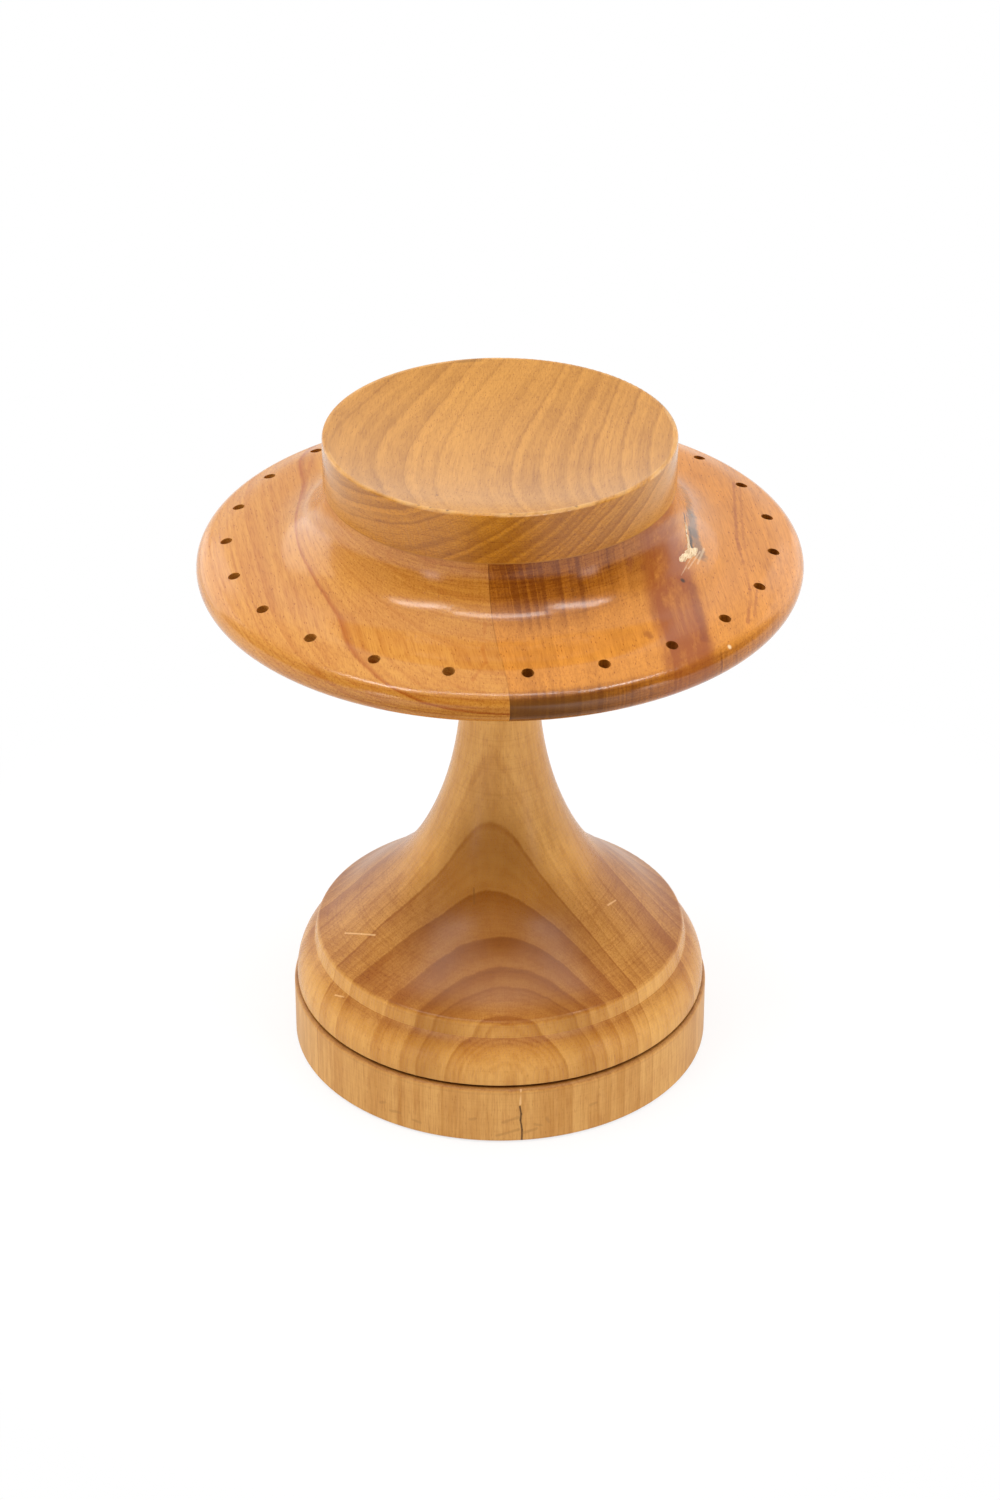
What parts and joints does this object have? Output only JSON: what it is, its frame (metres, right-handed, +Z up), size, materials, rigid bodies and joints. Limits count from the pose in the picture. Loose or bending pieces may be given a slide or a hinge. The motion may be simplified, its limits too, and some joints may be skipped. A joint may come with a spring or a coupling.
{
  "type": "rotating jewelry stand",
  "caption": "Turned wooden jewelry stand: a shallow tray on a round platter drilled with hanging holes, on a flared pedestal that spins on a ball bearing in a round plinth.",
  "frame": {"origin": "centre of the pad's underside, where the stand rests", "axes": "+Z up along the turning axis, -Y towards the front of the picture, +X to its right"},
  "size_m": [0.1766, 0.1766, 0.2043],
  "materials": {
    "platter_light_wood": "satin",
    "platter_dark_wood": "satin",
    "tray_wood": "satin",
    "pedestal_wood": "satin",
    "plinth_wood": "satin",
    "cork": "matte",
    "plated_steel": "satin",
    "bearing_steel": "polished",
    "brass": "satin",
    "cage_plastic": "matte"
  },
  "bodies": {
    "plinth": {"plinth": "plinth_wood", "base_pad": "cork", "bearing_lower_plate": "plated_steel", "lower_plate_screws": "brass", "bearing_eyelet": "plated_steel"},
    "ball_ring": {"ball_cage": "cage_plastic", "bearing_balls": "bearing_steel"},
    "carousel": {"bearing_upper_plate": "plated_steel", "upper_plate_screws": "brass", "pedestal": "pedestal_wood", "platter_left_board": "platter_light_wood", "platter_right_board": "platter_dark_wood", "tray": "tray_wood"}
  },
  "joints": [
    {"name": "carousel_spin", "type": "hinge", "parent": "plinth", "child": "carousel", "pos_m": [0, 0, 0.0163], "axis": [0, 0, 1], "continuous": true},
    {"name": "ball_ring_orbit", "type": "hinge", "parent": "plinth", "child": "ball_ring", "pos_m": [0, 0, 0.0163], "axis": [0, 0, 1], "continuous": true}
  ],
  "couplings": [
    {"joint": "ball_ring_orbit", "follows": "carousel_spin", "ratio": 0.5}
  ]
}
